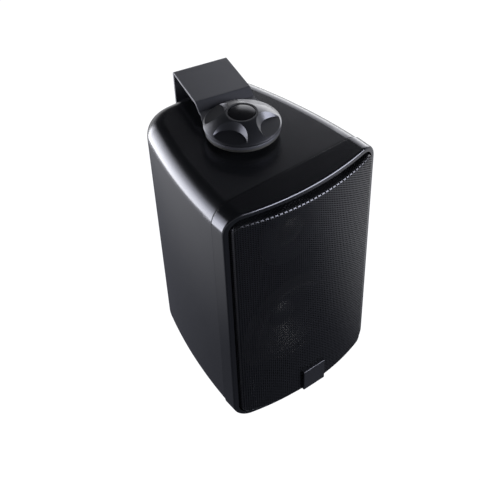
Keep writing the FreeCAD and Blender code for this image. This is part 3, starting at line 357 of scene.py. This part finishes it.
BRACKET = SubAssembly("bracket", {"wall_bracket": POWDER_STEEL})
CABINET = SubAssembly("cabinet", {
    "cabinet_shell": CABINET_ABS, "front_frame": FRAME_ABS, "frame_seal": FOAM,
    "grille": GRILLE_PAINT, "badge": BADGE_ABS, "frame_screws": OXIDE, "damping_wadding": WADDING,
})
WOOFER = SubAssembly("woofer", {
    "woofer_basket": BASKET_PAINT, "woofer_cone": CONE_PP, "dust_cap": CAP_PP,
    "woofer_surround": BUTYL, "woofer_spider": SPIDER_CLOTH, "voice_coil": COPPER,
    "woofer_top_plate": ZINC, "woofer_magnet": FERRITE, "woofer_yoke": ZINC,
    "woofer_screws": OXIDE,
})
TWEETER = SubAssembly("tweeter", {
    "tweeter_face_plate": MATT_ABS, "tweeter_dome": SILK, "tweeter_top_plate": ZINC,
    "tweeter_magnet": FERRITE, "tweeter_yoke": ZINC, "tweeter_screws": OXIDE,
})
CROSSOVER = SubAssembly("crossover", {
    "crossover_board": LAMINATE, "crossover_coil": COPPER, "crossover_capacitor": SLEEVE,
    "crossover_resistor": CEMENT,
})
TERMINALS = SubAssembly("terminals", {
    "terminal_cup": MATT_ABS, "terminal_screws": OXIDE, "red_lever": RED_ABS,
    "black_lever": BLACK_ABS, "terminal_contacts": BRONZE,
})


def knob_set(end: End) -> SubAssembly:
    """Groups the pieces of one hand knob.

    Args:
        end: the end of the cabinet that the knob holds.

    Returns:
        The group with its finishes.
    """
    finishes = {"insert": BRASS, "friction_washer": RUBBER, "thrust_washer": ZINC, "stud": ZINC,
                "knob": KNOB_ABS, "knob_cap": CAP_GLOSS}
    return SubAssembly(f"{end.value} knob",
                       {f"{end.value}_{piece}": finish for piece, finish in finishes.items()})


@dataclass
class CabinetFrame:
    """The cabinet's own axes: X right, Y from the seam to the rear, Z from mid-height.

    Attributes:
        axis_to_wall_mm: from the axis of the knobs to the wall.
        axis_to_seam_mm: from the axis of the knobs to the seam of shell and frame.
        rest_swivel_deg: turn of the cabinet at rest.
    """

    axis_to_wall_mm: float = 90.0
    axis_to_seam_mm: float = 60.0
    rest_swivel_deg: float = 12.8

    def matrix(self) -> Matrix:
        """Gives the place of these axes.

        Returns:
            The matrix from the cabinet's axes, in metres, to the row frame.
        """
        to_axis = Matrix.Translation((0, -self.axis_to_seam_mm * MM, 0))
        turn = Matrix.Rotation(math.radians(self.rest_swivel_deg), 4, "Z")
        return Matrix.Translation((0, -self.axis_to_wall_mm * MM, 0)) @ turn @ to_axis


HEX_SIDES = 6
HEX_STEP_DEG = 60
# Corners of neighbouring cells are one where they fall on the same hundredth of a millimetre.
CORNERS_PER_MM = 100
EDGE_SLACK_MM = 0.01


@dataclass
class PunchedGrille:
    """The bowed tray of punched sheet, with every hole cut.

    The sheet is drawn flat as hexagonal cells, one for each hole, and each point is then folded
    over the tray's rim and bowed.

    Attributes:
        half_width_mm: half the tray's width.
        half_height_mm: half its height.
        corner_mm: outer radius of its corners.
        bend_mm: outer radius of the folded rim.
        sheet_mm: thickness of the sheet.
        front_mm: how far the face's middle stands before the seam.
        ledge_mm: how far the rim's rear edge stands before the seam.
        bow_mm: how far the face bows back at its sides.
        pitch_mm: distance of neighbouring holes.
        hole_radius_mm: radius of a hole.
        row_shift_mm: how far the rows lie above mid-height.
        hole_sides: number of corners that a hole is drawn with.
        plain_edge_mm: width of the rim's rear edge that has no holes.
    """

    half_width_mm: float = 69.7
    half_height_mm: float = 113.0
    corner_mm: float = 7.0
    bend_mm: float = 2.5
    sheet_mm: float = 0.6
    front_mm: float = 31.45
    ledge_mm: float = 6.0
    bow_mm: float = 12.2
    pitch_mm: float = 2.26
    hole_radius_mm: float = 0.8
    row_shift_mm: float = 0.13
    hole_sides: int = 8
    plain_edge_mm: float = 2.0

    def build(self, place: Matrix) -> list[bpy.types.Object]:
        """Makes the two halves of the face and the folded rim, each as a mesh of its own.

        Args:
            place: matrix from the cabinet's axes to the row frame.

        Returns:
            The three mesh objects, in the row frame.
        """
        turn = self.bend_mm * math.pi / 2
        sheets: dict[str, list[Place]] = {"punched_upper": [], "punched_lower": [],
                                          "punched_rim": []}
        for u, v in self._cells():
            half = "punched_upper" if v > 0 else "punched_lower"
            sheets["punched_rim" if self._over_rim(u, v) > turn else half].append((u, v))
        return [self._sheet(name, cells, place) for name, cells in sheets.items()]

    def dress(self, sheet: bpy.types.Object) -> None:
        """Paints one mesh and lets it ride on the cabinet, in place of the CAD grille.

        Args:
            sheet: one of the meshes that build makes.
        """
        GRILLE_PAINT.put_on(sheet)
        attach(sheet, "cabinet")
        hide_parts("grille")
        LOG.info("grille, %s: %d faces", sheet.name, len(sheet.data.polygons))

    def _sheet(self, name: str, cells: list[Place], place: Matrix) -> bpy.types.Object:
        """Makes one mesh of punched cells.

        Args:
            name: name of the object.
            cells: middles of the cells on the flat sheet.
            place: matrix from the cabinet's axes to the row frame.

        Returns:
            The mesh object, in the row frame.
        """
        points: list[Point] = []
        faces: list[tuple[int, ...]] = []
        corners: dict[tuple[int, int], int] = {}

        def corner(u: float, v: float) -> int:
            """Adds the corner of a cell, unless a neighbour has added it.

            Args:
                u: place across the flat sheet.
                v: place up the flat sheet.

            Returns:
                The corner's number.
            """
            key = (round(u * CORNERS_PER_MM), round(v * CORNERS_PER_MM))
            if key not in corners:
                corners[key] = len(points)
                points.append(self._folded(u, v, 0.0))
            return corners[key]

        triangles = self._around_hole()
        for u, v in cells:
            edge = [corner(u + du, v + dv) for du, dv in self._hexagon()]
            if self._folded(u, v, 0.0)[1] > -self.ledge_mm - self.plain_edge_mm:
                faces.append(tuple(edge))
                continue
            ring = self._ring(points, u, v, 0.0)
            faces += [tuple((edge + ring)[at] for at in triangle) for triangle in triangles]
            near = self._ring(points, u, v, 0.0)
            far = self._ring(points, u, v, self.sheet_mm)
            for at in range(self.hole_sides):
                after = (at + 1) % self.hole_sides
                faces.append((near[at], near[after], far[after], far[at]))
        mesh = bpy.data.meshes.new(name)
        mesh.from_pydata([tuple(MM * c for c in point) for point in points], [], faces)
        mesh.transform(place)
        mesh.shade_smooth()
        made = bpy.data.objects.new(name, mesh)
        bpy.context.scene.collection.objects.link(made)
        return made

    def _cells(self) -> list[Place]:
        """Lists the cells of the flat sheet, in columns that are staggered by half a pitch.

        Returns:
            The middles of all cells that the tray has room for.
        """
        step = self.pitch_mm * math.sqrt(3) / 2
        reach = self.front_mm - self.ledge_mm + self.bend_mm
        columns = int((self.half_width_mm + reach) / step)
        rows = int((self.half_height_mm + reach) / self.pitch_mm)
        cells = []
        for column in range(-columns, columns + 1):
            for row in range(-rows, rows + 1):
                u = column * step
                v = (row + (column % 2) / 2) * self.pitch_mm + self.row_shift_mm
                if self._kept(u, v):
                    cells.append((u, v))
        return cells

    def _kept(self, u: float, v: float) -> bool:
        """Tells whether a cell lies before the tray's rear edge."""
        return self._folded(u, v, 0.0)[1] < -self.ledge_mm - EDGE_SLACK_MM

    def _hexagon(self) -> list[Place]:
        """Gives the corners of a cell about its middle."""
        reach = self.pitch_mm / math.sqrt(3)
        return [(reach * math.cos(math.radians(angle)), reach * math.sin(math.radians(angle)))
                for angle in range(0, 360, HEX_STEP_DEG)]

    def _hole_angles(self) -> list[float]:
        """Gives the angles of a hole's corners, in degrees."""
        return [360 / self.hole_sides * (at + 0.5) for at in range(self.hole_sides)]

    def _ring(self, points: list[Point], u: float, v: float, depth: float) -> list[int]:
        """Adds the corners of one hole at a depth in the sheet.

        Args:
            points: the mesh's points, which grow.
            u: place of the hole across the flat sheet.
            v: place of the hole up the flat sheet.
            depth: distance below the sheet's outer face.

        Returns:
            The numbers of the new corners.
        """
        first = len(points)
        for angle in self._hole_angles():
            du = self.hole_radius_mm * math.cos(math.radians(angle))
            dv = self.hole_radius_mm * math.sin(math.radians(angle))
            points.append(self._folded(u + du, v + dv, depth))
        return list(range(first, first + self.hole_sides))

    def _around_hole(self) -> list[tuple[int, int, int]]:
        """Lists the triangles between a cell's edge and its hole.

        Returns:
            Three numbers for each, where 0 to 5 are the cell's corners and 6 and up the hole's.
        """
        outer = [(HEX_STEP_DEG * at, at) for at in range(HEX_SIDES)] + [(360, 0)]
        inner = [(angle, HEX_SIDES + at) for at, angle in enumerate(self._hole_angles())]
        inner.append((inner[0][0] + 360, HEX_SIDES))
        last_outer, last_inner = len(outer) - 1, len(inner) - 1
        triangles = []
        out = within = 0
        while out < last_outer or within < last_inner:
            step_out = within == last_inner or (
                out < last_outer and outer[out + 1][0] <= inner[within + 1][0])
            if step_out:
                triangles.append((outer[out][1], outer[out + 1][1], inner[within][1]))
                out += 1
            else:
                triangles.append((outer[out][1], inner[within + 1][1], inner[within][1]))
                within += 1
        return triangles

    def _fold_line(self, u: float, v: float) -> tuple[float, float, float, float, float]:
        """Finds the nearest point of the line where the rim's bend starts.

        Args:
            u: place across the flat sheet.
            v: place up the flat sheet.

        Returns:
            That point, the outward direction from it and how far the place lies beyond it.
        """
        radius = self.corner_mm - self.bend_mm
        half_x = self.half_width_mm - self.corner_mm
        half_z = self.half_height_mm - self.corner_mm
        near_x = max(-half_x, min(half_x, u))
        near_z = max(-half_z, min(half_z, v))
        du, dv = u - near_x, v - near_z
        length = math.hypot(du, dv)
        if length <= radius:
            return u, v, 0.0, 0.0, 0.0
        du, dv = du / length, dv / length
        return near_x + du * radius, near_z + dv * radius, du, dv, length - radius

    def _over_rim(self, u: float, v: float) -> float:
        """Tells how far a place lies beyond the start of the rim's bend."""
        return self._fold_line(u, v)[4]

    def _folded(self, u: float, v: float, depth: float) -> Point:
        """Folds a place of the flat sheet over the rim and bows it.

        Args:
            u: place across the flat sheet.
            v: place up the flat sheet.
            depth: distance below the sheet's outer face.

        Returns:
            The place in the cabinet's axes, in millimetres.
        """
        x, z, du, dv, over = self._fold_line(u, v)
        radius = self.bend_mm - depth
        angle = min(over / self.bend_mm, math.pi / 2)
        straight = max(0.0, over - self.bend_mm * math.pi / 2)
        x += du * radius * math.sin(angle)
        z += dv * radius * math.sin(angle)
        back = self.bend_mm - radius * math.cos(angle) + straight
        bow = (self.half_width_mm ** 2 + self.bow_mm ** 2) / (2 * self.bow_mm)
        sag = bow - math.sqrt(bow ** 2 - x * x)
        return x, min(-self.front_mm + sag + back, -self.ledge_mm), z


@dataclass
class Loudspeaker:
    """The whole part: the CAD pieces in their groups, and the punched grille.

    Attributes:
        groups: the sub-assemblies.
        cabinet: axes that the grille is drawn in.
        grille: the punched grille.
    """

    groups: tuple[SubAssembly, ...]
    cabinet: CabinetFrame
    grille: PunchedGrille

    def build(self) -> None:
        """Dresses every CAD piece and adds the grille."""
        for group in self.groups:
            group.dress()
        for sheet in self.grille.build(self.cabinet.matrix()):
            self.grille.dress(sheet)


@dataclass(frozen=True)
class Softbox:
    """One soft lamp of the studio.

    Attributes:
        name: its name.
        place: where it stands, in metres.
        size: width and height, in metres.
        power: watts.
        aim: the point it looks at.
        fade: share of the light that is lost at the head of the cloth.
        plateau: share of the height, from the foot, that keeps its full light.
    """

    name: str
    place: Point
    size: tuple[float, float]
    power: float
    aim: Point = (0.0, -0.09, 0.0)
    fade: float = 0.0
    plateau: float = 0.0

    def build(self) -> None:
        """Hangs the lamp in the scene."""
        light = bpy.data.lights.new(self.name, "AREA")
        light.shape = "RECTANGLE"
        light.size, light.size_y = self.size
        light.energy = self.power
        light.use_nodes = True
        tree = light.node_tree
        cloth = add_node(tree, "ShaderNodeNewGeometry").outputs["Parametric"]
        up = add_node(tree, "ShaderNodeSeparateXYZ", links={"Vector": cloth}).outputs["Y"]
        dim = add_node(tree, "ShaderNodeMapRange",
                       {"From Min": self.plateau, "To Min": 1.0, "To Max": 1.0 - self.fade},
                       {"Value": up})
        tree.links.new(dim.outputs["Result"], tree.nodes["Emission"].inputs["Strength"])
        lamp = bpy.data.objects.new(self.name, light)
        lamp.location = self.place
        lamp.rotation_mode = "QUATERNION"
        lamp.rotation_quaternion = (Vector(self.aim) - Vector(self.place)).to_track_quat("-Z", "Y")
        lamp.visible_camera = False
        bpy.context.scene.collection.objects.link(lamp)


@dataclass
class Studio:
    """Floor and surround that are white to the eye, a dark ceiling and soft lamps.

    Attributes:
        floor_m: height of the floor.
        floor_reach_m: half the floor's width.
        floor_colour: grey of the paper in the light, sRGB hex.
        floor_tone: colour of its slow drift of tone, sRGB hex.
        floor_white: strength of the white that the eye sees.
        floor_near: strength of the white that gloss mirrors close to the part, kept low as painted
            shade where the part's shadow falls.
        floor_far: the same strength away from the part, raised as painted light where the lamps
            fall.
        floor_rearward: share of a distance to the rear that counts as away.
        floor_rightward: share of a distance to the right that counts as away.
        floor_from_m: distance at which the mirrored white starts to rise.
        floor_to_m: distance at which it is full.
        paper_grain_mm: size of the paper's grain.
        ceiling_colour: colour of the room overhead, sRGB hex.
        ceiling_from: sine of the elevation at which the room starts to darken.
        ceiling_to: sine of the elevation at which it is all ceiling.
        lamps: the soft lamps.
    """

    floor_m: float = -0.34
    floor_reach_m: float = 6.0
    floor_colour: str = "34353c"
    floor_tone: str = "393a41"
    floor_white: float = 1.0
    floor_near: float = 0.03
    floor_far: float = 0.8
    floor_rearward: float = 0.3
    floor_rightward: float = 1.2
    floor_from_m: float = 0.27
    floor_to_m: float = 0.55
    paper_grain_mm: float = 3.0
    ceiling_colour: str = "2c2d31"
    ceiling_from: float = 0.02
    ceiling_to: float = 0.3
    lamps: tuple[Softbox, ...] = (
        Softbox("left_rear_softbox", (-0.766, 0.444, 0.14), (1.2, 0.96), 38.0, (0.0, -0.09, 0.05),
                fade=0.85, plateau=0.45),
        Softbox("right_rear_softbox", (1.04, 0.8, 0.46), (1.5, 0.95), 24.0, (0.0, -0.09, 0.05),
                fade=0.65),
        Softbox("front_right_softbox", (0.95, -1.1, 0.48), (1.3, 0.8), 52.0),
    )

    def build(self) -> None:
        """Sets up floor, surround, lamps and view transform."""
        self._floor()
        self._surround()
        for lamp in self.lamps:
            lamp.build()
            LOG.info("studio, %s: %g W", lamp.name, lamp.power)
        bpy.context.scene.view_settings.view_transform = "Standard"

    def _floor(self) -> None:
        """Lays the floor under the part."""
        reach, height = self.floor_reach_m, self.floor_m
        mesh = bpy.data.meshes.new("floor")
        mesh.from_pydata([(-reach, -reach, height), (reach, -reach, height),
                          (reach, reach, height), (-reach, reach, height)], [], [(0, 1, 2, 3)])
        mesh.materials.append(self._paper())
        floor = bpy.data.objects.new("floor", mesh)
        bpy.context.scene.collection.objects.link(floor)

    def _paper(self) -> bpy.types.Material:
        """Makes the paper of the floor.

        It is white to the eye and grey to the light. In what gloss mirrors it carries painted
        shade, dim close to the part and before it and white away to the sides. Seen from below it
        is clear.

        Returns:
            The material.
        """
        # White paper sweep: an even white without an edge to the eye, with painted shade near the
        # part in what gloss mirrors.
        paper = bpy.data.materials.new("Paper sweep white")
        paper.use_nodes = True
        tree = paper.node_tree
        tree.nodes.clear()
        grain = add_node(tree, "ShaderNodeTexNoise",
                         {"Scale": 1 / (self.paper_grain_mm * MM), "Detail": FINE_DETAIL})
        shade = add_node(tree, "ShaderNodeMix",
                         {".data_type": "RGBA", MIX_FROM: linear(self.floor_colour),
                          MIX_TO: linear(self.floor_tone)},
                         {"Factor": grain.outputs["Fac"]})
        matt = add_node(tree, "ShaderNodeBsdfDiffuse", links={"Color": shade.outputs[MIXED]})
        ray = add_node(tree, "ShaderNodeLightPath").outputs
        mirrored = add_node(tree, "ShaderNodeMath", {".operation": "MAXIMUM"},
                            {0: ray["Is Transmission Ray"], 1: ray["Is Glossy Ray"]})
        # Painted shade and light: gloss sees the white dimmed close to the part, as if in its
        # shadow, and brighter to the sides, where the lamps fall.
        shown = add_node(tree, "ShaderNodeMath", {".operation": "MULTIPLY"},
                         {0: mirrored.outputs["Value"], 1: self._mirrored_white_painted_shade(tree)})
        level = add_node(tree, "ShaderNodeMath",
                         {".operation": "MULTIPLY_ADD", 1: self.floor_white},
                         {0: ray["Is Camera Ray"], 2: shown.outputs["Value"]})
        glow = add_node(tree, "ShaderNodeEmission", {"Color": WHITE},
                        {"Strength": level.outputs["Value"]})
        both = add_node(tree, "ShaderNodeAddShader",
                        links={0: matt.outputs["BSDF"], 1: glow.outputs["Emission"]})
        clear = add_node(tree, "ShaderNodeBsdfTransparent")
        side = add_node(tree, "ShaderNodeNewGeometry")
        open_below = add_node(tree, "ShaderNodeMixShader",
                              links={0: side.outputs["Backfacing"], 1: both.outputs["Shader"],
                                     2: clear.outputs["BSDF"]})
        add_node(tree, "ShaderNodeOutputMaterial", links={"Surface": open_below.outputs["Shader"]})
        return paper

    def _mirrored_white_painted_shade(self, tree: bpy.types.NodeTree) -> bpy.types.NodeSocket:
        """Paints shade and light into the white that gloss mirrors: dim close to the part and
        before it, rising away from it, most to the sides.

        Args:
            tree: the paper's node tree.

        Returns:
            The strength of that white.
        """
        place = add_node(tree, "ShaderNodeTexCoord").outputs["Object"]
        plan = add_node(tree, "ShaderNodeSeparateXYZ", links={"Vector": place}).outputs
        left = add_node(tree, "ShaderNodeMath", {".operation": "MULTIPLY", 1: -1.0},
                        {0: plan["X"]})
        right = add_node(tree, "ShaderNodeMath",
                         {".operation": "MULTIPLY", 1: self.floor_rightward}, {0: plan["X"]})
        aside = add_node(tree, "ShaderNodeMath", {".operation": "MAXIMUM"},
                         {0: left.outputs["Value"], 1: right.outputs["Value"]})
        away = add_node(tree, "ShaderNodeMath",
                        {".operation": "MULTIPLY_ADD", 1: self.floor_rearward},
                        {0: plan["Y"], 2: aside.outputs["Value"]})
        rise = add_node(tree, "ShaderNodeMapRange",
                        {"From Min": self.floor_from_m, "From Max": self.floor_to_m,
                         "To Min": self.floor_near, "To Max": self.floor_far},
                        {"Value": away.outputs["Value"]})
        return rise.outputs["Result"]

    def _surround(self) -> None:
        """Makes the surround: white to the eye, with a dark ceiling in the reflections."""
        world = bpy.data.worlds.new("studio")
        bpy.context.scene.world = world
        world.use_nodes = True
        tree = world.node_tree
        tree.nodes.clear()
        way = add_node(tree, "ShaderNodeTexCoord").outputs["Generated"]
        height = add_node(tree, "ShaderNodeSeparateXYZ", links={"Vector": way}).outputs["Z"]
        rise = add_node(tree, "ShaderNodeMapRange",
                        {"From Min": self.ceiling_from, "From Max": self.ceiling_to},
                        {"Value": height})
        room = add_node(tree, "ShaderNodeMix",
                        {".data_type": "RGBA", MIX_FROM: WHITE,
                         MIX_TO: linear(self.ceiling_colour)},
                        {"Factor": rise.outputs["Result"]})
        eye = add_node(tree, "ShaderNodeLightPath").outputs["Is Camera Ray"]
        seen = add_node(tree, "ShaderNodeMix", {".data_type": "RGBA", MIX_TO: WHITE},
                        {"Factor": eye, MIX_FROM: room.outputs[MIXED]})
        light = add_node(tree, "ShaderNodeBackground", {"Strength": 1.0},
                         {"Color": seen.outputs[MIXED]})
        add_node(tree, "ShaderNodeOutputWorld", links={"Surface": light.outputs["Background"]})


@dataclass
class PhotoCamera:
    """The camera, set where the outlines of the part fall as they do in the photograph.

    Attributes:
        place: where it stands, in metres.
        azimuth_deg: its turn about the upright, 0 for straight before the wall.
        elevation_deg: how far it looks down.
        roll_deg: its turn about its own axis.
        lens_mm: focal length.
        sensor_mm: width of the sensor.
    """

    place: Point = (-0.2394, -0.6588, 0.5861)
    azimuth_deg: float = -22.2
    elevation_deg: float = 43.44
    roll_deg: float = -3.0
    lens_mm: float = 71.39
    sensor_mm: float = 36.0

    def build(self) -> None:
        """Creates the camera and makes it the scene's."""
        turn, tilt, roll = (math.radians(angle) for angle in
                            (self.azimuth_deg, self.elevation_deg, self.roll_deg))
        back = Vector((math.sin(turn) * math.cos(tilt), -math.cos(turn) * math.cos(tilt),
                       math.sin(tilt)))
        level = Vector((math.cos(turn), math.sin(turn), 0))
        above = back.cross(level)
        right = level * math.cos(roll) + above * math.sin(roll)
        up = back.cross(right)
        data = bpy.data.cameras.new("camera")
        data.lens = self.lens_mm
        data.sensor_width = self.sensor_mm
        camera = bpy.data.objects.new("camera", data)
        pose = Matrix((right, up, back)).transposed().to_4x4()
        camera.matrix_world = Matrix.Translation(self.place) @ pose
        bpy.context.scene.collection.objects.link(camera)
        bpy.context.scene.camera = camera


def main() -> None:
    """Builds the part, the studio and the camera."""
    logging.basicConfig(level=logging.INFO, format="%(message)s")
    groups = (BRACKET, CABINET, WOOFER, TWEETER, CROSSOVER, TERMINALS, knob_set(End.UPPER),
              knob_set(End.LOWER))
    Loudspeaker(groups, CabinetFrame(), PunchedGrille()).build()
    Studio().build()
    PhotoCamera().build()


if __name__ == "__main__":
    main()
